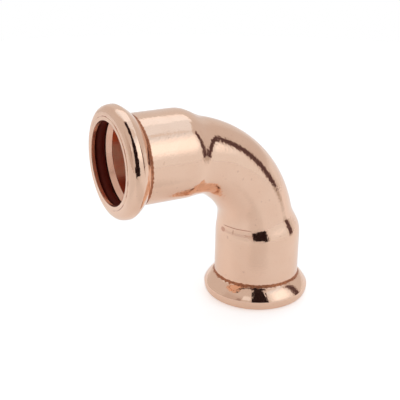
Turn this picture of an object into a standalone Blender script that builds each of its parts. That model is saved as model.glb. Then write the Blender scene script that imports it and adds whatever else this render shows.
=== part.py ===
"""Ninety degree copper press elbow: a bent tube with an expanded socket and a seal bead at each end.

Metres, +Z up. The origin is the centre of the lower mouth, the lower socket runs up along +Z,
and the upper socket points along -X. The two legs are mirror images of each other.
"""
import math

import bpy
import bmesh
from mathutils import Vector

# Millimetres to metres
MM = 0.001

# Legs and bend. The socket leaves the bend where the straight leg starts.
LEG_LENGTH = 23.8 * MM
BEND_RADIUS = 35.1 * MM
END_TO_CENTRE = LEG_LENGTH + BEND_RADIUS

# Tube and sockets
WALL = 1.3 * MM
SOCKET_INNER_R = 14.2 * MM
SOCKET_OUTER_R = SOCKET_INNER_R + WALL
NECK_OUTER_R = 13.0 * MM
NECK_INNER_R = NECK_OUTER_R - WALL

# The socket narrows to the neck quickly on the outside of the bend and slowly on the inside. The spread is an
# exponent: above 1 it keeps the slow side closer to the inside of the bend.
TAPER_LENGTH_OUTSIDE = 9.5 * MM
TAPER_LENGTH_INSIDE = 21.0 * MM
TAPER_SPREAD = 1.75

# Seal ring. It stands back a little from the bore and a little in front of the groove's widest place.
SEAL_SECTION_R = 1.5 * MM
SEAL_CLEARANCE = 0.4 * MM
SEAL_SETBACK = 0.35 * MM
SEAL_FRONT_ROOM = 0.8 * MM
SEAL_FORWARD = 0.2 * MM
SEAL_RING_R = SOCKET_INNER_R + SEAL_SETBACK + SEAL_SECTION_R

# Seal groove, inner face. Behind the ring a rounded seat ends at a cone that leads down to the bore.
# Each t is a distance inward from the mouth plane.
SEAT_CLEARANCE = 0.3 * MM
CONE_RISE = 1.4 * MM
CONE_LENGTH = 1.8 * MM
GROOVE_INNER_R = SEAL_RING_R + SEAL_SECTION_R + SEAL_CLEARANCE
GROOVE_START_T = WALL
GROOVE_CROWN_T = GROOVE_START_T + SEAL_FRONT_ROOM + SEAL_SECTION_R + SEAL_CLEARANCE
SEAT_END_T = GROOVE_CROWN_T + SEAL_SECTION_R + SEAT_CLEARANCE
GROOVE_END_T = SEAT_END_T + CONE_LENGTH
SEAL_T = GROOVE_CROWN_T - SEAL_FORWARD
GROOVE_FRONT_EXPONENT = 2.5
SEAT_EXPONENT = 2.0

# Bead, outer face: one wall outside the groove, with a hollow root where it meets the socket
BEAD_OUTER_R = GROOVE_INNER_R + WALL
BEAD_SLOPE_SHIFT = 0.6 * MM
BEAD_END_T = GROOVE_END_T + BEAD_SLOPE_SHIFT
BEAD_FRONT_EXPONENT = 2.85
BEAD_REAR_EXPONENT = 1.24
BEAD_ROOT_LENGTH = 1.0 * MM
BEAD_ROOT_RISE = 0.35 * MM

# Cut edge of the tube at the mouth, and the fine step where the bead face starts
STEP_WIDTH = 0.2 * MM
STEP_DEPTH = 0.15 * MM

# Mesh density
SEGMENTS = 48
BEAD_STEPS = 5
GROOVE_STEPS = 5
TAPER_STEPS = 7
BEND_STEPS = 9
SEAL_STEPS = 12

# Faces that meet at more than this angle keep a sharp edge.
SHARP_ANGLE = math.radians(35.0)


def clear_scene():
    """Remove every object that the start-up file brings."""
    for obj in list(bpy.data.objects):
        bpy.data.objects.remove(obj, do_unlink=True)


def make_material(name, colour, metallic, roughness):
    """A plain Principled material."""
    mat = bpy.data.materials.new(name)
    mat.use_nodes = True
    node = mat.node_tree.nodes["Principled BSDF"]
    node.inputs["Base Color"].default_value = (*colour, 1.0)
    node.inputs["Metallic"].default_value = metallic
    node.inputs["Roughness"].default_value = roughness
    mat.diffuse_color = (*colour, 1.0)
    return mat


def quarter_curve(crown, end, exponent, steps):
    """Points of a quarter superellipse after its crown, down to its end. Points are (t, r) pairs."""
    points = []
    for i in range(1, steps + 1):
        a = 0.5 * math.pi * i / steps
        along = math.sin(a) ** (2.0 / exponent)
        across = abs(math.cos(a)) ** (2.0 / exponent)
        t = crown[0] + (end[0] - crown[0]) * along
        r = end[1] + (crown[1] - end[1]) * across
        points.append((t, r))
    return points


def bead_profile():
    """Outer face from the cut edge over the bead to the socket, as (t, r) pairs."""
    rim = (0.0, SOCKET_OUTER_R)
    step = (STEP_DEPTH, SOCKET_OUTER_R + STEP_WIDTH)
    crown = (GROOVE_CROWN_T, BEAD_OUTER_R)
    foot = (BEAD_END_T, SOCKET_OUTER_R + BEAD_ROOT_RISE)
    front = quarter_curve(crown, step, BEAD_FRONT_EXPONENT, BEAD_STEPS)
    rear = quarter_curve(crown, foot, BEAD_REAR_EXPONENT, BEAD_STEPS)
    root_middle = (BEAD_END_T + 0.5 * BEAD_ROOT_LENGTH, SOCKET_OUTER_R + 0.25 * BEAD_ROOT_RISE)
    root_end = (BEAD_END_T + BEAD_ROOT_LENGTH, SOCKET_OUTER_R)
    return [rim] + front[::-1] + [crown] + rear + [root_middle, root_end]


def groove_profile():
    """Inner face from the mouth through the seal groove to the socket bore, as (t, r) pairs."""
    mouth = (0.0, SOCKET_INNER_R)
    lip_end = (GROOVE_START_T, SOCKET_INNER_R)
    crown = (GROOVE_CROWN_T, GROOVE_INNER_R)
    seat_end = (SEAT_END_T, SOCKET_INNER_R + CONE_RISE)
    bore_edge = (GROOVE_END_T, SOCKET_INNER_R)
    front = quarter_curve(crown, lip_end, GROOVE_FRONT_EXPONENT, GROOVE_STEPS)
    seat = quarter_curve(crown, seat_end, SEAT_EXPONENT, GROOVE_STEPS)
    return [mouth] + front[::-1] + [crown] + seat + [bore_edge]


def smooth_step(a):
    """A smooth rise from 0 to 1."""
    a = min(max(a, 0.0), 1.0)
    return a - math.sin(2.0 * math.pi * a) / (2.0 * math.pi)


def tapered_radius(s, phi, socket_r, neck_r):
    """Radius of the tube at distance s past the straight leg and angle phi around it."""
    inside = (0.5 * (1.0 - math.cos(phi))) ** TAPER_SPREAD
    fall_outside = smooth_step(s / TAPER_LENGTH_OUTSIDE)
    fall_inside = smooth_step(s / TAPER_LENGTH_INSIDE)
    fall = fall_outside * (1.0 - inside) + fall_inside * inside
    return socket_r + (neck_r - socket_r) * fall


def angle_at(k):
    """Angle of point k around a section, from the outside of the bend."""
    return 2.0 * math.pi * k / SEGMENTS


def section_points(centre, outward, radii):
    """One closed ring of points around the centre line."""
    side = Vector((0.0, 1.0, 0.0))
    points = []
    for k, r in enumerate(radii):
        phi = angle_at(k)
        points.append(centre + outward * (r * math.cos(phi)) + side * (r * math.sin(phi)))
    return points


def leg_rings(profile):
    """Rings of the straight leg, from the mouth to the end of the profile."""
    outward = Vector((1.0, 0.0, 0.0))
    return [section_points(Vector((0.0, 0.0, t)), outward, [r] * SEGMENTS) for t, r in profile]


def bend_rings(socket_r, neck_r):
    """Rings of the taper and the first half of the bend, on an arc of BEND_RADIUS."""
    half_arc = BEND_RADIUS * math.pi / 4.0
    rest = half_arc - TAPER_LENGTH_OUTSIDE
    distances = [TAPER_LENGTH_OUTSIDE * i / TAPER_STEPS for i in range(TAPER_STEPS + 1)]
    distances += [TAPER_LENGTH_OUTSIDE + rest * i / BEND_STEPS for i in range(1, BEND_STEPS + 1)]
    bend_centre = Vector((-BEND_RADIUS, 0.0, LEG_LENGTH))
    rings = []
    for s in distances:
        theta = s / BEND_RADIUS
        outward = Vector((math.cos(theta), 0.0, math.sin(theta)))
        radii = [tapered_radius(s, angle_at(k), socket_r, neck_r) for k in range(SEGMENTS)]
        rings.append(section_points(bend_centre + outward * BEND_RADIUS, outward, radii))
    return rings


def other_leg(point):
    """The matching point on the upper leg."""
    return Vector((point.z - END_TO_CENTRE, point.y, point.x + END_TO_CENTRE))


def skin_rings(profile, socket_r, neck_r):
    """Rings of one skin of the tube from the lower mouth to the upper mouth."""
    lower = leg_rings(profile) + bend_rings(socket_r, neck_r)
    upper = [[other_leg(p) for p in ring] for ring in lower[:-1]]
    return lower + upper[::-1]


def build_body(material):
    """The elbow: the outer skin from mouth to mouth, then the inner skin back again."""
    outer = skin_rings(bead_profile(), SOCKET_OUTER_R, NECK_OUTER_R)
    inner = skin_rings(groove_profile(), SOCKET_INNER_R, NECK_INNER_R)
    bm = bmesh.new()
    rows = [[bm.verts.new(p) for p in ring] for ring in outer + inner[::-1]]
    for i, here in enumerate(rows):
        there = rows[(i + 1) % len(rows)]
        for k in range(SEGMENTS):
            n = (k + 1) % SEGMENTS
            bm.faces.new((here[k], here[n], there[n], there[k]))
    bmesh.ops.recalc_face_normals(bm, faces=bm.faces)
    mesh = bpy.data.meshes.new("elbow_body")
    bm.to_mesh(mesh)
    bm.free()
    mesh.shade_smooth()
    mesh.set_sharp_from_angle(angle=SHARP_ANGLE)
    mesh.materials.append(material)
    body = bpy.data.objects.new("elbow_body", mesh)
    bpy.context.scene.collection.objects.link(body)


def build_seal(name, location, rotation, material):
    """A seal ring lying in a groove."""
    bpy.ops.mesh.primitive_torus_add(
        major_radius=SEAL_RING_R,
        minor_radius=SEAL_SECTION_R,
        major_segments=SEGMENTS,
        minor_segments=SEAL_STEPS,
        location=location,
        rotation=rotation,
    )
    seal = bpy.context.object
    seal.name = name
    seal.data.name = name
    seal.data.shade_smooth()
    seal.data.materials.append(material)


def main():
    clear_scene()
    copper = make_material("polished_copper", (0.90, 0.58, 0.45), 1.0, 0.18)
    rubber = make_material("black_rubber", (0.02, 0.02, 0.02), 0.0, 0.55)
    build_body(copper)
    lower_place = Vector((0.0, 0.0, SEAL_T))
    build_seal("seal_lower", lower_place, (0.0, 0.0, 0.0), rubber)
    build_seal("seal_upper", other_leg(lower_place), (0.0, 0.5 * math.pi, 0.0), rubber)


main()
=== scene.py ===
"""Ninety degree copper press elbow, dressed for a product picture: polished copper tube, two seal rings.

One frame is used throughout: metres, +Z up, origin at the centre of the lower mouth, lower socket along +Z,
upper socket along -X. Sizes are named in millimetres.
"""

import math

import bpy
import numpy as np
from mathutils import Matrix, Vector


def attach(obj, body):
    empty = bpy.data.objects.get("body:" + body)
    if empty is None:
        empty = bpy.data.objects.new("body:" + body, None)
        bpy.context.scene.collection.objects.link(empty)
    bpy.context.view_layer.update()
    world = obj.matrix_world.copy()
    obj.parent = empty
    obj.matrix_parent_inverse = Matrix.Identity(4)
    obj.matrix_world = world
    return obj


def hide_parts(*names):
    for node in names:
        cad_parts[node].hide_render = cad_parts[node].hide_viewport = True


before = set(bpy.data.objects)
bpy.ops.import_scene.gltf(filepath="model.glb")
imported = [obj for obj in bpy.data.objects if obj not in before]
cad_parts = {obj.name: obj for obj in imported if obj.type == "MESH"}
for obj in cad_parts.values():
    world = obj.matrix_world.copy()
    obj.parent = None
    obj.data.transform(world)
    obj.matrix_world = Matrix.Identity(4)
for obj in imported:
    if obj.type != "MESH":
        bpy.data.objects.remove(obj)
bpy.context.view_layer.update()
scene = bpy.context.scene
scene.view_settings.view_transform = "Standard"
MM = 0.001

# Camera
# A short telephoto stands in front of the elbow, to the left of it and a little above. It looks down by
# about 21 degrees, and its lens axis goes through the middle of the picture.
CAMERA_PLACE = Vector((-164.057, -252.066, 153.151)) * MM
CAMERA_RIGHT = Vector((0.877564, -0.479203, 0.015696))
CAMERA_UP = Vector((0.162016, 0.327193, 0.930965))
CAMERA_FORWARD = Vector((0.451257, 0.814438, -0.364771))
CAMERA_LENS = 79.4965
SENSOR_WIDTH = 36.0

camera = bpy.data.objects.new("camera", bpy.data.cameras.new("camera"))
scene.collection.objects.link(camera)
turn = Matrix((CAMERA_RIGHT, CAMERA_UP, -CAMERA_FORWARD)).transposed()
camera.matrix_world = Matrix.Translation(CAMERA_PLACE) @ turn.to_4x4()
camera.data.lens = CAMERA_LENS
camera.data.sensor_width = SENSOR_WIDTH
camera.data.clip_start = 0.01
camera.data.dof.use_dof = False
scene.camera = camera

# Studio tent
# A pale cloth tent stands all round. Two soft lamps glow through it, one at the right of the camera and one
# high at the back right. The front is open round the camera, and a gap shows beside the right-hand lamp.
WALL_LEVEL = 0.66
GAP_LEVEL = 0.022
# Azimuths are in degrees from -Y towards +X. They are counted on from the seam, which no patch crosses.
SEAM_AZIMUTH = -112.0
# Each patch: azimuth range, height range, softness of the two, level
TENT_PATCHES = [
    ((-105.0, -60.0), (-40.0, 35.0), (8.0, 8.0), 0.58),
    ((120.0, 180.0), (8.0, 45.0), (8.0, 6.0), 0.72),
    ((85.0, 185.0), (-40.0, 6.0), (8.0, 3.0), 0.82),
    ((160.0, 206.0), (43.0, 95.0), (20.0, 3.0), 1.00),
    ((110.0, 176.0), (43.0, 95.0), (8.0, 2.0), 1.15),
    ((55.0, 115.0), (53.0, 95.0), (6.0, 3.0), 0.97),
    ((10.0, 60.0), (54.0, 95.0), (4.0, 2.0), 0.75),
    ((2.0, 60.0), (-40.0, 58.0), (5.0, 4.0), 0.86),
    ((12.0, 54.0), (17.0, 49.0), (12.0, 11.0), 1.31),
    ((-60.0, -43.0), (27.0, 42.0), (2.0, 2.0), 0.92),
    ((-73.0, -62.0), (8.0, 30.0), (2.0, 3.0), 0.40),
    ((62.5, 76.5), (-40.0, 44.0), (1.6, 4.0), 0.10),
    ((-41.0, -2.0), (-40.0, 4.0), (1.2, 2.0), GAP_LEVEL),
    ((-41.0, -2.0), (66.0, 95.0), (1.2, 2.0), GAP_LEVEL),
]
# The front gap runs on over the top. Ranges of the direction's x and y there, their softness, and the heights
# between which the gap begins.
TOP_GAP_X = (-0.24, 0.12)
TOP_GAP_Y = (-0.40, 0.13)
TOP_GAP_SOFT = 0.03
TOP_GAP_HEIGHTS = (55.0, 65.0)
# The dimmer the cloth, the warmer its light. Each range holds the levels between which one tint becomes the
# next, and OVERHEAD_HEIGHTS those between which the bright tint becomes the overhead one.
DARK_TINT = (1.0, 0.60, 0.62)
DIM_TINT = (1.0, 0.88, 0.83)
PLAIN_TINT = (1.0, 1.0, 1.0)
BRIGHT_TINT = (0.95, 1.0, 1.04)
OVERHEAD_TINT = (0.91, 1.02, 1.12)
DARK_TO_DIM = (0.10, 0.50)
DIM_TO_PLAIN = (0.50, 0.75)
PLAIN_TO_BRIGHT = (0.76, 0.90)
OVERHEAD_HEIGHTS = (42.0, 54.0)


def feed(tree, socket, value):
    """Link a socket to a socket, or put a number or a colour on it."""
    if isinstance(value, bpy.types.NodeSocket):
        tree.links.new(value, socket)
    elif isinstance(value, tuple) and len(value) == 3 and socket.type == "RGBA":
        socket.default_value = (*value, 1.0)
    else:
        socket.default_value = value


def math_step(tree, operation, *values):
    """The result of one Math node."""
    node = tree.nodes.new("ShaderNodeMath")
    node.operation = operation
    for socket, value in zip(node.inputs, values):
        feed(tree, socket, value)
    return node.outputs[0]


def ramp_step(tree, value, low, high):
    """A smooth rise from 0 where the value is low to 1 where it is high."""
    node = tree.nodes.new("ShaderNodeMapRange")
    node.interpolation_type = "SMOOTHSTEP"
    feed(tree, node.inputs["Value"], value)
    node.inputs["From Min"].default_value = low
    node.inputs["From Max"].default_value = high
    return node.outputs["Result"]


def range_mask(tree, value, limits, soft):
    """1 between the two limits, 0 outside, with a soft edge centred on each limit."""
    rise = ramp_step(tree, value, limits[0] - soft, limits[0] + soft)
    fall = ramp_step(tree, value, limits[1] + soft, limits[1] - soft)
    return math_step(tree, "MULTIPLY", rise, fall)


def blend_step(tree, mask, below, above, kind="FLOAT"):
    """below where the mask is 0, above where it is 1. Of kind RGBA, it blends colours."""
    node = tree.nodes.new("ShaderNodeMix")
    node.data_type = kind
    first, result = (2, 0) if kind == "FLOAT" else (6, 2)
    for socket, value in zip((node.inputs[0], *node.inputs[first:first + 2]), (mask, below, above)):
        feed(tree, socket, value)
    return node.outputs[result]


world = bpy.data.worlds.new("studio_tent")
scene.world = world
world.use_nodes = True
tent = world.node_tree
tent.nodes.clear()
direction = tent.nodes.new("ShaderNodeTexCoord").outputs["Generated"]
split = tent.nodes.new("ShaderNodeSeparateXYZ")
tent.links.new(direction, split.inputs[0])
towards_front = math_step(tent, "MULTIPLY", split.outputs["Y"], -1.0)
bearing = math_step(tent, "DEGREES", math_step(tent, "ARCTAN2", split.outputs["X"], towards_front))
azimuth = math_step(tent, "WRAP", bearing, SEAM_AZIMUTH + 360.0, SEAM_AZIMUTH)
height = math_step(tent, "DEGREES", math_step(tent, "ARCSINE", split.outputs["Z"]))
level = WALL_LEVEL
for azimuths, heights, (side_soft, height_soft), patch_level in TENT_PATCHES:
    mask = math_step(
        tent, "MULTIPLY",
        range_mask(tent, azimuth, azimuths, side_soft),
        range_mask(tent, height, heights, height_soft),
    )
    level = blend_step(tent, mask, level, patch_level)
top_gap = math_step(
    tent, "MULTIPLY",
    range_mask(tent, split.outputs["X"], TOP_GAP_X, TOP_GAP_SOFT),
    range_mask(tent, split.outputs["Y"], TOP_GAP_Y, TOP_GAP_SOFT),
)
top_gap = math_step(tent, "MULTIPLY", top_gap, ramp_step(tent, height, *TOP_GAP_HEIGHTS))
level = blend_step(tent, top_gap, level, GAP_LEVEL)
overhead = ramp_step(tent, height, *OVERHEAD_HEIGHTS)
bright_tint = blend_step(tent, overhead, BRIGHT_TINT, OVERHEAD_TINT, "RGBA")
tint = blend_step(tent, ramp_step(tent, level, *DARK_TO_DIM), DARK_TINT, DIM_TINT, "RGBA")
tint = blend_step(tent, ramp_step(tent, level, *DIM_TO_PLAIN), tint, PLAIN_TINT, "RGBA")
tint = blend_step(tent, ramp_step(tent, level, *PLAIN_TO_BRIGHT), tint, bright_tint, "RGBA")
cloth = tent.nodes.new("ShaderNodeBackground")
tent.links.new(tint, cloth.inputs["Color"])
tent.links.new(level, cloth.inputs["Strength"])
plain_white = tent.nodes.new("ShaderNodeBackground")
plain_white.inputs["Color"].default_value = (1.0, 1.0, 1.0, 1.0)
plain_white.inputs["Strength"].default_value = 1.0
seen = tent.nodes.new("ShaderNodeMixShader")
tent.links.new(tent.nodes.new("ShaderNodeLightPath").outputs["Is Camera Ray"], seen.inputs[0])
tent.links.new(cloth.outputs[0], seen.inputs[1])
tent.links.new(plain_white.outputs[0], seen.inputs[2])
tent.links.new(seen.outputs[0], tent.nodes.new("ShaderNodeOutputWorld").inputs["Surface"])

# Floor
# A round white table top, a little brighter towards the back right lamp. Its far edge, slightly shaded, is
# the line that the polished copper mirrors at eye height.
FLOOR_RADIUS = 500.0 * MM
FLOOR_SIDES = 96
FLOOR_DROP = 0.1 * MM
FLOOR_COLOUR = (0.86, 0.86, 0.86)
FLOOR_GLOW_SEEN = 0.50
FLOOR_GLOW_MIRRORED = (0.19, 0.25)
FLOOR_RIM_LOSS = 0.08
FLOOR_RIM_START = 400.0 * MM
LAMP_BEARING = math.radians(150.0)
GLOW_REACH = 60.0 * MM
# The copper sees the table darker towards the open front, out at the left, and in front of the gap beside the
# right-hand lamp. A shade of 0 is none, and at 1 the table has the shaded colour and half its glow.
FLOOR_SHADED = (0.50, 0.42, 0.36)
SHADED_GLOW = 0.5
# Two of the shades cover a range of bearings with a softness. Each sets in between the two distances of its
# start, and goes from its first strength to its second between the two of its reach.
FRONT_SHADE_BEARINGS = (-48.0, -8.0)
FRONT_SHADE_SOFT = 11.0
FRONT_SHADE_START = (42.0 * MM, 54.0 * MM)
FRONT_SHADE = (0.23, 0.45)
FRONT_SHADE_REACH = (80.0 * MM, 230.0 * MM)
GAP_SHADE_BEARINGS = (60.5, 74.0)
GAP_SHADE_SOFT = 4.0
GAP_SHADE_START = (120.0 * MM, 200.0 * MM)
GAP_SHADE = (0.46, 0.90)
GAP_SHADE_REACH = (235.0 * MM, 275.0 * MM)
LEFT_SHADE = 0.22
LEFT_SHADE_REACH = (90.0 * MM, 160.0 * MM)


def flat_mesh(name, points):
    """A mesh of one flat polygon through the given points, in their order."""
    mesh = bpy.data.meshes.new(name)
    mesh.from_pydata([tuple(p) for p in points], [], [tuple(range(len(points)))])
    mesh.update()
    return mesh


def vector_step(tree, operation, *values):
    """One Vector Math node. Its first output is a vector, and of DOT_PRODUCT and LENGTH a number."""
    node = tree.nodes.new("ShaderNodeVectorMath")
    node.operation = operation
    for socket, value in zip(node.inputs, values):
        feed(tree, socket, value)
    return node.outputs["Value" if operation in ("DOT_PRODUCT", "LENGTH") else "Vector"]


floor_angles = np.linspace(0.0, 2.0 * np.pi, FLOOR_SIDES, endpoint=False)
floor_points = np.stack([
    FLOOR_RADIUS * np.cos(floor_angles),
    FLOOR_RADIUS * np.sin(floor_angles),
    np.full(FLOOR_SIDES, -FLOOR_DROP),
], axis=1)
floor = bpy.data.objects.new("floor", flat_mesh("floor", floor_points))
scene.collection.objects.link(floor)
floor_material = bpy.data.materials.new("white_table")
floor_material.use_nodes = True
table = floor_material.node_tree
table_shader = table.nodes["Principled BSDF"]
table_shader.inputs["Roughness"].default_value = 0.9
table_shader.inputs["Specular IOR Level"].default_value = 0.0
table_shader.inputs["Emission Color"].default_value = (1.0, 1.0, 1.0, 1.0)
spot = table.nodes.new("ShaderNodeTexCoord").outputs["Object"]
towards_lamp = (math.sin(LAMP_BEARING), -math.cos(LAMP_BEARING), 0.0)
nearness = ramp_step(table, vector_step(table, "DOT_PRODUCT", spot, towards_lamp), -GLOW_REACH, GLOW_REACH)
spot_distance = vector_step(table, "LENGTH", spot)
rim_shade = ramp_step(table, spot_distance, FLOOR_RIM_START, FLOOR_RADIUS)
glow = math_step(
    table, "SUBTRACT",
    blend_step(table, nearness, *FLOOR_GLOW_MIRRORED),
    math_step(table, "MULTIPLY", rim_shade, FLOOR_RIM_LOSS),
)
spot_parts = table.nodes.new("ShaderNodeSeparateXYZ")
table.links.new(spot, spot_parts.inputs[0])
spot_bearing = math_step(table, "DEGREES", math_step(
    table, "ARCTAN2", spot_parts.outputs["X"], math_step(table, "MULTIPLY", spot_parts.outputs["Y"], -1.0)))
leftward = math_step(table, "MULTIPLY", spot_parts.outputs["X"], -1.0)
shade = math_step(table, "MULTIPLY", ramp_step(table, leftward, *LEFT_SHADE_REACH), LEFT_SHADE)
for bearings, soft, start, strengths, reach in (
    (FRONT_SHADE_BEARINGS, FRONT_SHADE_SOFT, FRONT_SHADE_START, FRONT_SHADE, FRONT_SHADE_REACH),
    (GAP_SHADE_BEARINGS, GAP_SHADE_SOFT, GAP_SHADE_START, GAP_SHADE, GAP_SHADE_REACH),
):
    strength = blend_step(table, ramp_step(table, spot_distance, *reach), *strengths)
    begun = math_step(table, "MULTIPLY", ramp_step(table, spot_distance, *start), strength)
    sector_shade = math_step(table, "MULTIPLY", range_mask(table, spot_bearing, bearings, soft), begun)
    shade = math_step(table, "MAXIMUM", shade, sector_shade)
glow = math_step(table, "MULTIPLY", glow, blend_step(table, shade, 1.0, SHADED_GLOW))
path = table.nodes.new("ShaderNodeLightPath")
mirrored_shade = math_step(table, "MULTIPLY", path.outputs["Is Glossy Ray"], shade)
table.links.new(
    blend_step(table, mirrored_shade, FLOOR_COLOUR, FLOOR_SHADED, "RGBA"), table_shader.inputs["Base Color"])
seen_glow = math_step(table, "MULTIPLY", path.outputs["Is Camera Ray"], FLOOR_GLOW_SEEN)
mirrored_glow = math_step(table, "MULTIPLY", path.outputs["Is Glossy Ray"], glow)
table.links.new(math_step(table, "ADD", seen_glow, mirrored_glow), table_shader.inputs["Emission Strength"])
floor.data.materials.append(floor_material)

# Dark flag
# The middle of the open front is a tall black card, about 24 cm away on the camera's side. Only the copper
# sees it.
FLAG_LEFT = (-149.0, -182.0)
FLAG_RIGHT = (-12.0, -247.0)
FLAG_BOTTOM = 15.0
FLAG_TOP = 750.0
FLAG_COLOUR = (0.028, 0.0145, 0.0145, 1.0)

flag_points = np.array([
    (*FLAG_LEFT, FLAG_BOTTOM), (*FLAG_RIGHT, FLAG_BOTTOM), (*FLAG_RIGHT, FLAG_TOP), (*FLAG_LEFT, FLAG_TOP),
]) * MM
flag = bpy.data.objects.new("dark_flag", flat_mesh("dark_flag", flag_points))
scene.collection.objects.link(flag)
flag_material = bpy.data.materials.new("black_card")
flag_material.use_nodes = True
flag_shader = flag_material.node_tree.nodes["Principled BSDF"]
flag_shader.inputs["Base Color"].default_value = FLAG_COLOUR
flag_shader.inputs["Roughness"].default_value = 1.0
flag_shader.inputs["Specular IOR Level"].default_value = 0.0
flag.data.materials.append(flag_material)
flag.visible_camera = False
flag.visible_shadow = False
flag.visible_diffuse = False

# Elbow body
# One piece of 28 mm copper tube, bent cold over a mandrel. Both ends are swaged out to a socket, a bead is
# rolled at each mouth with a groove inside it, and the outside is polished.
LEG_LENGTH = 23.8
BEND_RADIUS = 35.1
END_TO_CENTRE = LEG_LENGTH + BEND_RADIUS
WALL = 1.3
BORE_R = 14.2
SOCKET_R = BORE_R + WALL
NECK_R = 13.0
# The socket narrows to the neck quickly on the outside of the bend and slowly on the inside. A spread above 1
# keeps the slow side close to the inside.
TAPER_LENGTH_OUTSIDE = 9.5
TAPER_LENGTH_INSIDE = 21.0
TAPER_SPREAD = 1.75
# The groove takes its size from its ring. Each t is a distance inward from the mouth, and each r a radius.
SEAL_SECTION_R = 1.5
SEAL_SETBACK = 0.35
SEAL_CLEARANCE = 0.4
SEAL_FRONT_ROOM = 0.8
SEAL_RING_R = BORE_R + SEAL_SETBACK + SEAL_SECTION_R
GROOVE_R = SEAL_RING_R + SEAL_SECTION_R + SEAL_CLEARANCE
GROOVE_START_T = WALL
GROOVE_FRONT_EXPONENT = 2.5
CROWN_T = GROOVE_START_T + SEAL_FRONT_ROOM + SEAL_SECTION_R + SEAL_CLEARANCE
SEAT_CLEARANCE = 0.3
SEAT_EXPONENT = 2.0
SEAT_END_T = CROWN_T + SEAL_SECTION_R + SEAT_CLEARANCE
CONE_RISE = 1.4
CONE_LENGTH = 1.8
GROOVE_END_T = SEAT_END_T + CONE_LENGTH
# The bead is one wall outside the groove. It starts at a fine step by the cut edge and ends in a hollow root.
STEP_DEPTH = 0.15
STEP_WIDTH = 0.2
BEAD_R = GROOVE_R + WALL
BEAD_FRONT_EXPONENT = 2.85
BEAD_REAR_EXPONENT = 1.24
BEAD_SLOPE_SHIFT = 0.6
BEAD_END_T = GROOVE_END_T + BEAD_SLOPE_SHIFT
ROOT_LENGTH = 1.0
ROOT_RISE = 0.35
# Points of the cut edge and its rounded rim, each as t and the height above the socket's radius, then of the
# rim and lip inside, each as t and the height above the bore's
OUTER_RIM = ((0.0, -1.05), (0.0, -0.2), (0.0, -0.1), (0.02, -0.03), (0.08, 0.01), (0.2, 0.03))
INNER_LIP = ((0.0, 0.14), (0.02, 0.05), (0.08, 0.0), (0.25, 0.0), (0.7, 0.0), (1.15, 0.0))
# Rows of the mesh: as shares of the cone, as distances past it along the bore, and as counts
CONE_ROWS = (0.06, 0.35, 0.65, 0.94, 1.0)
BORE_ROWS = (0.15, 1.0, 4.0, 8.0, 12.0, LEG_LENGTH - GROOVE_END_T)
BEAD_FRONT_ROWS = 18
BEAD_REAR_ROWS = 24
ROOT_ROWS = 6
SOCKET_ROWS = 7
GROOVE_ROWS = 14
BEND_ROWS = 46
AROUND = 176


def quarter_curve(crown, end, exponent, steps):
    """Quarter superellipse from its crown to its end, as rows of (t, r).

    t goes from the crown's to the end's as sin(a) to the power 2/exponent, and r falls from the crown's to
    the end's as cos(a) to the same power, for a from 0 to 90 degrees. The crown itself is left out.
    """
    a = np.linspace(0.0, 0.5 * np.pi, steps + 1)[1:]
    along = np.sin(a) ** (2.0 / exponent)
    across = np.abs(np.cos(a)) ** (2.0 / exponent)
    return np.stack([crown[0] + (end[0] - crown[0]) * along, end[1] + (crown[1] - end[1]) * across], axis=1)


def outer_profile():
    """Outer face of a socket, rows of (t, r): cut edge, fine crease, bead, hollow root, straight socket.

    The bead is two quarter superellipses, and the root's height falls as the square of what is left of it.
    """
    rim = np.array(OUTER_RIM) + (0.0, SOCKET_R)
    crown = (CROWN_T, BEAD_R)
    step = (STEP_DEPTH, SOCKET_R + STEP_WIDTH)
    front = quarter_curve(crown, step, BEAD_FRONT_EXPONENT, BEAD_FRONT_ROWS)[::-1]
    rear = quarter_curve(crown, (BEAD_END_T, SOCKET_R + ROOT_RISE), BEAD_REAR_EXPONENT, BEAD_REAR_ROWS)
    a = np.linspace(0.0, 1.0, ROOT_ROWS + 1)[1:]
    root = np.stack([BEAD_END_T + ROOT_LENGTH * a, SOCKET_R + ROOT_RISE * (1.0 - a) ** 2], axis=1)
    leg_t = np.linspace(BEAD_END_T + ROOT_LENGTH, LEG_LENGTH, SOCKET_ROWS + 1)[1:]
    leg = np.stack([leg_t, np.full(SOCKET_ROWS, SOCKET_R)], axis=1)
    return np.concatenate([rim, front, [crown], rear, root, leg])


def inner_profile():
    """Inner face of a socket, rows of (t, r): short lip, seal groove, lead-in cone, straight bore.

    The groove is two quarter superellipses, and the cone falls in a straight line to the bore.
    """
    lip = np.array(INNER_LIP) + (0.0, BORE_R)
    crown = (CROWN_T, GROOVE_R)
    front = quarter_curve(crown, (GROOVE_START_T, BORE_R), GROOVE_FRONT_EXPONENT, GROOVE_ROWS)[::-1]
    seat = quarter_curve(crown, (SEAT_END_T, BORE_R + CONE_RISE), SEAT_EXPONENT, GROOVE_ROWS)
    a = np.array(CONE_ROWS)
    cone = np.stack([SEAT_END_T + CONE_LENGTH * a, BORE_R + CONE_RISE * (1.0 - a)], axis=1)
    leg_t = GROOVE_END_T + np.array(BORE_ROWS)
    leg = np.stack([leg_t, np.full(len(BORE_ROWS), BORE_R)], axis=1)
    return np.concatenate([lip, front, [crown], seat, cone, leg])


def smooth_rise(a):
    """A rise from 0 to 1 that is level at both ends: a less sin(2 pi a) / (2 pi)."""
    a = np.clip(a, 0.0, 1.0)
    return a - np.sin(2.0 * np.pi * a) / (2.0 * np.pi)


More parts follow.
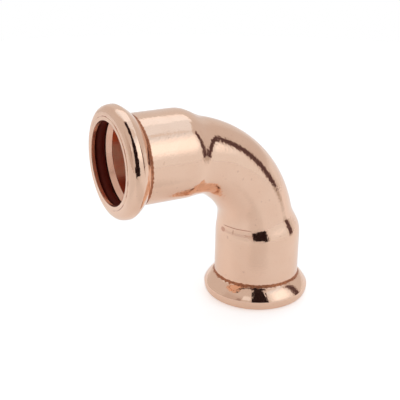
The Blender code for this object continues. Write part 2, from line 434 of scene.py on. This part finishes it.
def tube_skin(profile, socket_r, neck_r):
    """One skin of the elbow from the lower mouth to the upper, each point's depth, and its place when unbent.

    The profile is turned about the straight leg. Past the leg the section rides on an arc of BEND_RADIUS,
    and its radius falls from the socket's to the neck's as smooth_rise of the distance, over the outside
    length at the outside of the bend and the inside length at the inside. Between them the two are mixed by
    half of (1 - cos phi) to the power TAPER_SPREAD, where phi runs round the section from the outside of the
    bend. The upper half is the lower one mirrored.
    """
    phi = np.linspace(0.0, 2.0 * np.pi, AROUND, endpoint=False)[None, :]
    t, r = profile[:, 0, None], profile[:, 1, None]
    leg = np.stack(np.broadcast_arrays(r * np.cos(phi), r * np.sin(phi), t), axis=2)
    s = np.linspace(0.0, BEND_RADIUS * np.pi / 4.0, BEND_ROWS + 1)[1:, None]
    inside = (0.5 * (1.0 - np.cos(phi))) ** TAPER_SPREAD
    fall_outside = smooth_rise(s / TAPER_LENGTH_OUTSIDE)
    fall_inside = smooth_rise(s / TAPER_LENGTH_INSIDE)
    radius = socket_r + (neck_r - socket_r) * (fall_outside * (1.0 - inside) + fall_inside * inside)
    theta = s / BEND_RADIUS
    reach = BEND_RADIUS + radius * np.cos(phi)
    bend = np.stack(np.broadcast_arrays(
        reach * np.cos(theta) - BEND_RADIUS, radius * np.sin(phi), LEG_LENGTH + reach * np.sin(theta),
    ), axis=2)
    lower = np.concatenate([leg, bend])
    upper = np.stack([lower[..., 2] - END_TO_CENTRE, lower[..., 1], lower[..., 0] + END_TO_CENTRE], axis=2)
    points = np.concatenate([lower, upper[-2::-1]])
    depth = np.concatenate([profile[:, 0], LEG_LENGTH + s[:, 0]])
    depths = np.concatenate([depth, depth[-2::-1]])
    along = np.concatenate([depth, 2.0 * depth[-1] - depth[-2::-1]])
    radii = np.concatenate([np.broadcast_to(r, leg.shape[:2]), radius])
    radii = np.concatenate([radii, radii[-2::-1]])
    straight = np.stack(np.broadcast_arrays(radii * np.cos(phi), radii * np.sin(phi), along[:, None]), axis=2)
    return points, np.broadcast_to(depths[:, None], points.shape[:2]), straight


def grid_mesh(name, points, attributes):
    """A closed mesh from a grid of points in millimetres that wraps round both ways, with its attributes."""
    rows, columns = points.shape[:2]
    i = np.arange(rows)[:, None]
    k = np.arange(columns)[None, :]
    i_next, k_next = (i + 1) % rows, (k + 1) % columns
    corners = np.stack(np.broadcast_arrays(
        i * columns + k, i * columns + k_next, i_next * columns + k_next, i_next * columns + k), axis=2)
    mesh = bpy.data.meshes.new(name)
    mesh.vertices.add(rows * columns)
    mesh.vertices.foreach_set("co", (points * MM).astype(np.float32).ravel())
    mesh.loops.add(rows * columns * 4)
    mesh.loops.foreach_set("vertex_index", corners.astype(np.int32).ravel())
    mesh.polygons.add(rows * columns)
    mesh.polygons.foreach_set("loop_start", np.arange(0, rows * columns * 4, 4, dtype=np.int32))
    mesh.update(calc_edges=True)
    for label, values in attributes.items():
        kind, field = ("FLOAT_VECTOR", "vector") if values.ndim == 3 else ("FLOAT", "value")
        layer = mesh.attributes.new(label, kind, "POINT")
        layer.data.foreach_set(field, values.astype(np.float32).ravel())
    mesh.shade_smooth()
    mesh.validate()
    return mesh


outer, outer_depth, outer_straight = tube_skin(outer_profile(), SOCKET_R, NECK_R)
inner, inner_depth, inner_straight = tube_skin(inner_profile(), BORE_R, NECK_R - WALL)
body_mesh = grid_mesh("copper_elbow", np.concatenate([outer, inner[::-1]]), {
    "depth": np.concatenate([outer_depth, inner_depth[::-1]]),
    "straight": np.concatenate([outer_straight, inner_straight[::-1]]),
})
elbow = bpy.data.objects.new("copper_elbow", body_mesh)
scene.collection.objects.link(elbow)


def new_group(name, inputs, outputs):
    """An empty node group with its input and output sockets, given as pairs of a name and a kind."""
    group = bpy.data.node_groups.new(name, "ShaderNodeTree")
    for in_out, sockets in (("INPUT", inputs), ("OUTPUT", outputs)):
        for label, kind in sockets:
            group.interface.new_socket(label, in_out=in_out, socket_type="NodeSocket" + kind)
    return group, group.nodes.new("NodeGroupInput").outputs, group.nodes.new("NodeGroupOutput").inputs


def noise_step(tree, place, features, detail):
    """Noise between 0 and 1, with about so many features in one unit of place."""
    node = tree.nodes.new("ShaderNodeTexNoise")
    feed(tree, node.inputs["Vector"], place)
    feed(tree, node.inputs["Scale"], features)
    node.inputs["Detail"].default_value = detail
    return node.outputs[0]


# Handled metal and rubber alike show soft blotches and a fine grain. Both counts are features per millimetre,
# and each range holds the noise between which a blotch or a grain comes up.
BLOTCH_RANGE = (0.35, 0.65)
GRAIN_RANGE = (0.25, 0.75)

surface_grain, grain_in, grain_out = new_group(
    "surface_grain",
    (("Place", "Vector"), ("Blotches", "Float"), ("Grains", "Float")),
    (("Blotch", "Float"), ("Grain", "Float")),
)
blotch = noise_step(surface_grain, grain_in["Place"], grain_in["Blotches"], detail=3.0)
grain = noise_step(surface_grain, grain_in["Place"], grain_in["Grains"], detail=2.0)
surface_grain.links.new(ramp_step(surface_grain, blotch, *BLOTCH_RANGE), grain_out["Blotch"])
surface_grain.links.new(ramp_step(surface_grain, grain, *GRAIN_RANGE), grain_out["Grain"])

# Marks of a tool run round the tube or along it. Lines gives the marks per millimetre on each axis of Place.
tool_lines, lines_in, lines_out = new_group(
    "tool_lines",
    (("Place", "Vector"), ("Lines", "Vector")),
    (("Line", "Float"),),
)
stretched = vector_step(tool_lines, "MULTIPLY", lines_in["Place"], lines_in["Lines"])
tool_lines.links.new(noise_step(tool_lines, stretched, 1.0, detail=3.0), lines_out["Line"])


def use_group(tree, group, **values):
    """One node of the group with these values on its sockets. Its outputs are returned."""
    node = tree.nodes.new("ShaderNodeGroup")
    node.node_tree = group
    for label, value in values.items():
        feed(tree, node.inputs[label], value)
    return node.outputs


def read_attribute(tree, name):
    """The node that reads one of the mesh's own attributes."""
    node = tree.nodes.new("ShaderNodeAttribute")
    node.attribute_name = name
    return node


def place_in_mm(tree):
    """Object coordinates in millimetres."""
    spot = tree.nodes.new("ShaderNodeTexCoord").outputs["Object"]
    return vector_step(tree, "MULTIPLY", spot, (1000.0, 1000.0, 1000.0))


def scale_add(tree, *terms):
    """The sum of each value times its factor, given as pairs."""
    total = 0.0
    for value, factor in terms:
        total = math_step(tree, "MULTIPLY_ADD", value, factor, total)
    return total


def relief(tree, shader, height):
    """Bump the shader's normal by a height in metres."""
    node = tree.nodes.new("ShaderNodeBump")
    node.inputs["Strength"].default_value = 1.0
    node.inputs["Distance"].default_value = 1.0
    feed(tree, node.inputs["Height"], height)
    tree.links.new(node.outputs["Normal"], shader.inputs["Normal"])


# The outside is buffed bright over a fine orange peel. The hollow root behind each bead is rough, and its
# brown is painted shade and bounced copper light. A thin brown line round the cut edge, in patches, is
# painted shade in the crease there. Handling leaves duller blotches and a few specks.
BUFFED = (0.935, 0.645, 0.485)
HANDLED = (0.905, 0.595, 0.435)
SPECK = (0.83, 0.54, 0.40)
# The root's two browns are painted shade and bounced light in the hollow. The last brown paints the crease
# shade and the dark reflections on the neck.
ROOT_SHADE_BROWN = (0.60, 0.25, 0.13)
ROOT_PITS = (0.34, 0.12, 0.06)
PAINTED_DARK_BROWN = (0.48, 0.17, 0.11)
# Shares of the blotches and the grain in the handled colour, and of the blotches, the grain and the polishing
# lines in the roughness, which is added to that of the bright metal
HANDLED_SHARES = (0.35, 0.30)
ROUGH_SHARES = (0.04, 0.03, 0.05)
BRIGHT_ROUGHNESS = 0.03
ROOT_ROUGHNESS = 0.5
# Features per millimetre, and the range of the noise over which a speck or a patch of the crease begins
BUFF_BLOTCHES_PER_MM = 0.16
BUFF_GRAINS_PER_MM = 1.9
BUFF_LINES_PER_MM = (0.12, 0.12, 5.0)
SPECKS_PER_MM = 0.9
SPECK_BEGINS = (0.80, 0.83)
CREASE_PATCHES_PER_MM = 0.30
CREASE_BEGINS = (0.46, 0.62)
# The root's depths, made ragged by up to half a millimetre, then the crease's radii and last depth
ROOT_DEPTHS = (BEAD_END_T - 0.05, BEAD_END_T + ROOT_LENGTH)
ROOT_SOFT = 0.15
RAGGED_PER_MM = 1.1
CREASE_RADII = (SOCKET_R, SOCKET_R + 0.22)
CREASE_SOFT = 0.05
CREASE_DEPTHS = (0.5, 0.4)
# A fine dark line and a faint band, almost level across the inside of the lower neck, are painted reflections
# of the table's far edge and of a far dark edge: the height, half width and strength of each, their softness,
# and how far and how often they wander. The middle direction points at their middle, and they lie where the
# reach along it is within the reach range.
REFLECTED_LINES = ((LEG_LENGTH + 5.8, 0.12, 0.95), (LEG_LENGTH + 3.8, 0.45, 0.18))
REFLECTED_LINE_SOFT = 0.08
REFLECTED_LINE_WANDER = 0.6
WANDERS_PER_MM = 0.15
REFLECTED_LINE_MIDDLE = (-0.883, -0.469, 0.0)
REFLECTED_LINE_REACH = (13.3, 17.0)
REFLECTED_LINE_END_SOFT = 0.35
# Two small dark spots lie beside them, the thin one a painted reflection of a far upright edge: the place and
# the half sizes of each. The edge is a range of those.
DARK_SPOTS = (((-15.1, -1.1, 27.9), (2.0, 1.3, 0.9)), ((-13.9, -5.9, 28.2), (2.0, 0.22, 0.95)))
DARK_SPOT_EDGE = (1.2, 0.7)
DARK_SPOT_STRENGTH = 0.55
PEEL_PER_MM = 1.2
PEEL_HEIGHT = 30.0e-6
LINE_HEIGHT = 0.5e-6
ROOT_HEIGHT = 30.0e-6

buffed = bpy.data.materials.new("buffed_copper")
buffed.use_nodes = True
buff = buffed.node_tree
buff_shader = buff.nodes["Principled BSDF"]
buff_shader.inputs["Metallic"].default_value = 1.0
buff_place = place_in_mm(buff)
buff_depth = read_attribute(buff, "depth").outputs["Fac"]
buff_straight = read_attribute(buff, "straight").outputs["Vector"]
buff_grain = use_group(
    buff, surface_grain, Place=buff_place, Blotches=BUFF_BLOTCHES_PER_MM, Grains=BUFF_GRAINS_PER_MM)
buff_lines = use_group(buff, tool_lines, Place=buff_straight, Lines=BUFF_LINES_PER_MM)["Line"]
peel = noise_step(buff, buff_place, PEEL_PER_MM, detail=0.5)
ragged = math_step(buff, "SUBTRACT", noise_step(buff, buff_place, RAGGED_PER_MM, detail=3.0), 0.5)
root = range_mask(buff, math_step(buff, "ADD", buff_depth, ragged), ROOT_DEPTHS, ROOT_SOFT)
handled = scale_add(buff, *zip((buff_grain["Blotch"], buff_grain["Grain"]), HANDLED_SHARES))
buff_colour = blend_step(buff, handled, BUFFED, HANDLED, "RGBA")
specks = ramp_step(buff, noise_step(buff, buff_place, SPECKS_PER_MM, detail=0.0), *SPECK_BEGINS)
buff_colour = blend_step(buff, specks, buff_colour, SPECK, "RGBA")
patchy = noise_step(buff, buff_place, CREASE_PATCHES_PER_MM, detail=2.0)
crease_patches = ramp_step(buff, patchy, *CREASE_BEGINS)
buff_radius = vector_step(buff, "LENGTH", vector_step(buff, "MULTIPLY", buff_straight, (1.0, 1.0, 0.0)))
# Painted shade in the crease round the cut edge, in patches
crease = math_step(buff, "MULTIPLY", range_mask(buff, buff_radius, CREASE_RADII, CREASE_SOFT), crease_patches)
painted_dark_marks = math_step(buff, "MULTIPLY", crease, ramp_step(buff, buff_depth, *CREASE_DEPTHS))
# Painted reflections of far dark edges, as a level line and a band across the lower neck
reflected_line_side = range_mask(
    buff, vector_step(buff, "DOT_PRODUCT", buff_straight, REFLECTED_LINE_MIDDLE), REFLECTED_LINE_REACH, REFLECTED_LINE_END_SOFT)
wander = math_step(buff, "SUBTRACT", noise_step(buff, buff_place, WANDERS_PER_MM, detail=1.0), 0.5)
buff_height = vector_step(buff, "DOT_PRODUCT", buff_place, (0.0, 0.0, 1.0))
reflected_line_height = scale_add(buff, (wander, REFLECTED_LINE_WANDER), (buff_height, 1.0))
for line_height, half_width, strength in REFLECTED_LINES:
    line = range_mask(buff, reflected_line_height, (line_height - half_width, line_height + half_width), REFLECTED_LINE_SOFT)
    line = math_step(buff, "MULTIPLY", math_step(buff, "MULTIPLY", line, reflected_line_side), strength)
    painted_dark_marks = math_step(buff, "MAXIMUM", painted_dark_marks, line)
# Two painted dark spots beside the reflected lines
for centre, half_sizes in DARK_SPOTS:
    away = vector_step(buff, "DIVIDE", vector_step(buff, "SUBTRACT", buff_place, centre), half_sizes)
    dark_spot = ramp_step(buff, vector_step(buff, "LENGTH", away), *DARK_SPOT_EDGE)
    painted_dark_marks = math_step(buff, "MAXIMUM", painted_dark_marks, math_step(buff, "MULTIPLY", dark_spot, DARK_SPOT_STRENGTH))
# The crease shade, the reflected lines and the dark spots are painted in one dark brown
buff_colour = blend_step(buff, painted_dark_marks, buff_colour, PAINTED_DARK_BROWN, "RGBA")
# The hollow root's painted shade and bounced light, darker in its pits
root_shade_colour = blend_step(buff, buff_grain["Grain"], ROOT_SHADE_BROWN, ROOT_PITS, "RGBA")
buff.links.new(blend_step(buff, root, buff_colour, root_shade_colour, "RGBA"), buff_shader.inputs["Base Color"])
added_rough = scale_add(buff, *zip((buff_grain["Blotch"], buff_grain["Grain"], buff_lines), ROUGH_SHARES))
buff_rough = math_step(buff, "ADD", added_rough, BRIGHT_ROUGHNESS)
buff.links.new(blend_step(buff, root, buff_rough, ROOT_ROUGHNESS), buff_shader.inputs["Roughness"])
relief(buff, buff_shader, scale_add(
    buff,
    (peel, PEEL_HEIGHT),
    (buff_lines, LINE_HEIGHT),
    (math_step(buff, "MULTIPLY", root, buff_grain["Grain"]), ROOT_HEIGHT),
))

# The inside is left as it was formed: dull and redder, turned marks round the lip and the groove, and drawn
# lines along the bore.
AS_FORMED = (0.93, 0.60, 0.45)
FORMED_DARK = (0.84, 0.44, 0.30)
DRAWN_BRIGHT = (1.0, 0.74, 0.56)
DRAWN_DARK = (1.0, 0.46, 0.28)
# The depths between which the turned marks give way to the drawn lines
TURNED_DEPTHS = (GROOVE_END_T, GROOVE_END_T + 0.2)
# Shares of the blotches and the lines in the darker colour, and of the grain, the lines and the drawing
# itself in the roughness, which is added to that of the lip
DARK_SHARES = (0.30, 0.4)
FORMED_ROUGH_SHARES = (0.06, 0.10, 0.47)
LIP_ROUGHNESS = 0.08
FORM_BLOTCHES_PER_MM = 0.25
FORM_GRAINS_PER_MM = 2.2
TURNED_LINES_PER_MM = (0.1, 0.1, 5.0)
DRAWN_LINES_PER_MM = (2.5, 2.5, 0.05)
FORM_LINE_HEIGHT = 6.0e-6
FORM_GRAIN_HEIGHT = 3.0e-6
# Two red streaks along the bore are painted reflections of light bounced down the tube: the direction and
# colour of each, how far out along the direction it begins and is full, and how far the drawn lines fray it.
BORE_REFLECTIONS = (((0.469, 0.883, 0.0), (1.0, 0.27, 0.11)), ((-0.883, 0.469, 0.0), (0.55, 0.13, 0.06)))
BORE_REFLECTION_REACH = (BORE_R - 1.3, BORE_R + 0.1)
BORE_REFLECTION_FRAY = 0.6

formed = bpy.data.materials.new("formed_copper")
formed.use_nodes = True
form = formed.node_tree
form_shader = form.nodes["Principled BSDF"]
form_shader.inputs["Metallic"].default_value = 0.9
form_place = place_in_mm(form)
form_depth = read_attribute(form, "depth").outputs["Fac"]
form_straight = read_attribute(form, "straight").outputs["Vector"]
form_grain = use_group(
    form, surface_grain, Place=form_place, Blotches=FORM_BLOTCHES_PER_MM, Grains=FORM_GRAINS_PER_MM)
turned = use_group(form, tool_lines, Place=form_straight, Lines=TURNED_LINES_PER_MM)["Line"]
drawn = use_group(form, tool_lines, Place=form_straight, Lines=DRAWN_LINES_PER_MM)["Line"]
in_bore = ramp_step(form, form_depth, *TURNED_DEPTHS)
form_lines = blend_step(form, in_bore, turned, drawn)
form_dark = scale_add(form, *zip((form_grain["Blotch"], form_lines), DARK_SHARES))
turned_colour = blend_step(form, form_dark, AS_FORMED, FORMED_DARK, "RGBA")
drawn_colour = blend_step(form, form_dark, DRAWN_BRIGHT, DRAWN_DARK, "RGBA")
# Painted red reflections of bounced light along the bore
for side, reflection_colour in BORE_REFLECTIONS:
    out_along = vector_step(form, "DOT_PRODUCT", form_straight, side)
    bore_reflection = ramp_step(form, scale_add(form, (out_along, 1.0), (drawn, BORE_REFLECTION_FRAY)), *BORE_REFLECTION_REACH)
    drawn_colour = blend_step(form, bore_reflection, drawn_colour, reflection_colour, "RGBA")
form_colour = blend_step(form, in_bore, turned_colour, drawn_colour, "RGBA")
form.links.new(form_colour, form_shader.inputs["Base Color"])
form_rough = scale_add(form, *zip((form_grain["Grain"], form_lines, in_bore), FORMED_ROUGH_SHARES))
form.links.new(math_step(form, "ADD", form_rough, LIP_ROUGHNESS), form_shader.inputs["Roughness"])
relief(form, form_shader, scale_add(
    form,
    (form_lines, FORM_LINE_HEIGHT),
    (form_grain["Grain"], FORM_GRAIN_HEIGHT),
))

body_mesh.materials.append(buffed)
body_mesh.materials.append(formed)
face_material = np.repeat((0, 1), (len(outer), len(inner)))
body_mesh.polygons.foreach_set("material_index", np.repeat(face_material, AROUND).astype(np.int32))
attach(elbow, "root")
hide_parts("elbow_body")

# Seal rings
# Two moulded dark red-brown rubber rings, one in each groove, pushed in by hand after forming. Each lies back
# against its seat, which squeezes the round section a little longer along the tube than across it.
SEAL_SQUEEZE = 0.22
SEAL_HALF_LENGTH = SEAL_SECTION_R + SEAL_SQUEEZE
SEAL_FORWARD = 0.15
SEAL_T = CROWN_T - SEAL_FORWARD
SEAL_AROUND = 160
SEAL_ROWS = 40


def ring_points(depth):
    """A ring about the lower leg: section angle q by ring angle phi, its centre at the given depth.

    Its section is an ellipse, SEAL_SECTION_R across the tube as cos q and SEAL_HALF_LENGTH along it as sin q.
    """
    q = np.linspace(0.0, 2.0 * np.pi, SEAL_ROWS, endpoint=False)[:, None]
    phi = np.linspace(0.0, 2.0 * np.pi, SEAL_AROUND, endpoint=False)[None, :]
    r = SEAL_RING_R + SEAL_SECTION_R * np.cos(q)
    return np.stack(np.broadcast_arrays(
        r * np.cos(phi), r * np.sin(phi), depth + SEAL_HALF_LENGTH * np.sin(q)), axis=2)


# The rubber is a dull dark maroon with a fine moulded grain. Its shares are those of the blotches and the
# grain in the paler colour.
RUBBER = (0.120, 0.014, 0.008)
RUBBER_PALE = (0.150, 0.024, 0.014)
PALE_SHARES = (0.5, 0.4)
RUBBER_BLOTCHES_PER_MM = 0.4
RUBBER_GRAINS_PER_MM = 3.0
RUBBER_ROUGHNESS = (0.5, 0.65)
RUBBER_GRAIN_HEIGHT = 8.0e-6

rubber = bpy.data.materials.new("maroon_rubber")
rubber.use_nodes = True
mould = rubber.node_tree
rubber_shader = mould.nodes["Principled BSDF"]
rubber_shader.inputs["Specular IOR Level"].default_value = 0.1
rubber_grain = use_group(
    mould, surface_grain,
    Place=place_in_mm(mould), Blotches=RUBBER_BLOTCHES_PER_MM, Grains=RUBBER_GRAINS_PER_MM)
rubber_pale = scale_add(mould, *zip((rubber_grain["Blotch"], rubber_grain["Grain"]), PALE_SHARES))
rubber_colour = blend_step(mould, rubber_pale, RUBBER, RUBBER_PALE, "RGBA")
mould.links.new(rubber_colour, rubber_shader.inputs["Base Color"])
rubber_rough = blend_step(mould, rubber_grain["Grain"], *RUBBER_ROUGHNESS)
mould.links.new(rubber_rough, rubber_shader.inputs["Roughness"])
relief(mould, rubber_shader, scale_add(mould, (rubber_grain["Grain"], RUBBER_GRAIN_HEIGHT)))

lower_ring = ring_points(SEAL_T)
upper_ring = np.stack([
    lower_ring[..., 2] - END_TO_CENTRE, lower_ring[..., 1], lower_ring[..., 0] + END_TO_CENTRE], axis=2)[::-1]
for name, node, points in (
    ("lower_ring", "seal_lower", lower_ring),
    ("upper_ring", "seal_upper", upper_ring),
):
    mesh = grid_mesh(name, points, {})
    mesh.materials.append(rubber)
    ring = bpy.data.objects.new(name, mesh)
    scene.collection.objects.link(ring)
    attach(ring, "root")
    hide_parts(node)
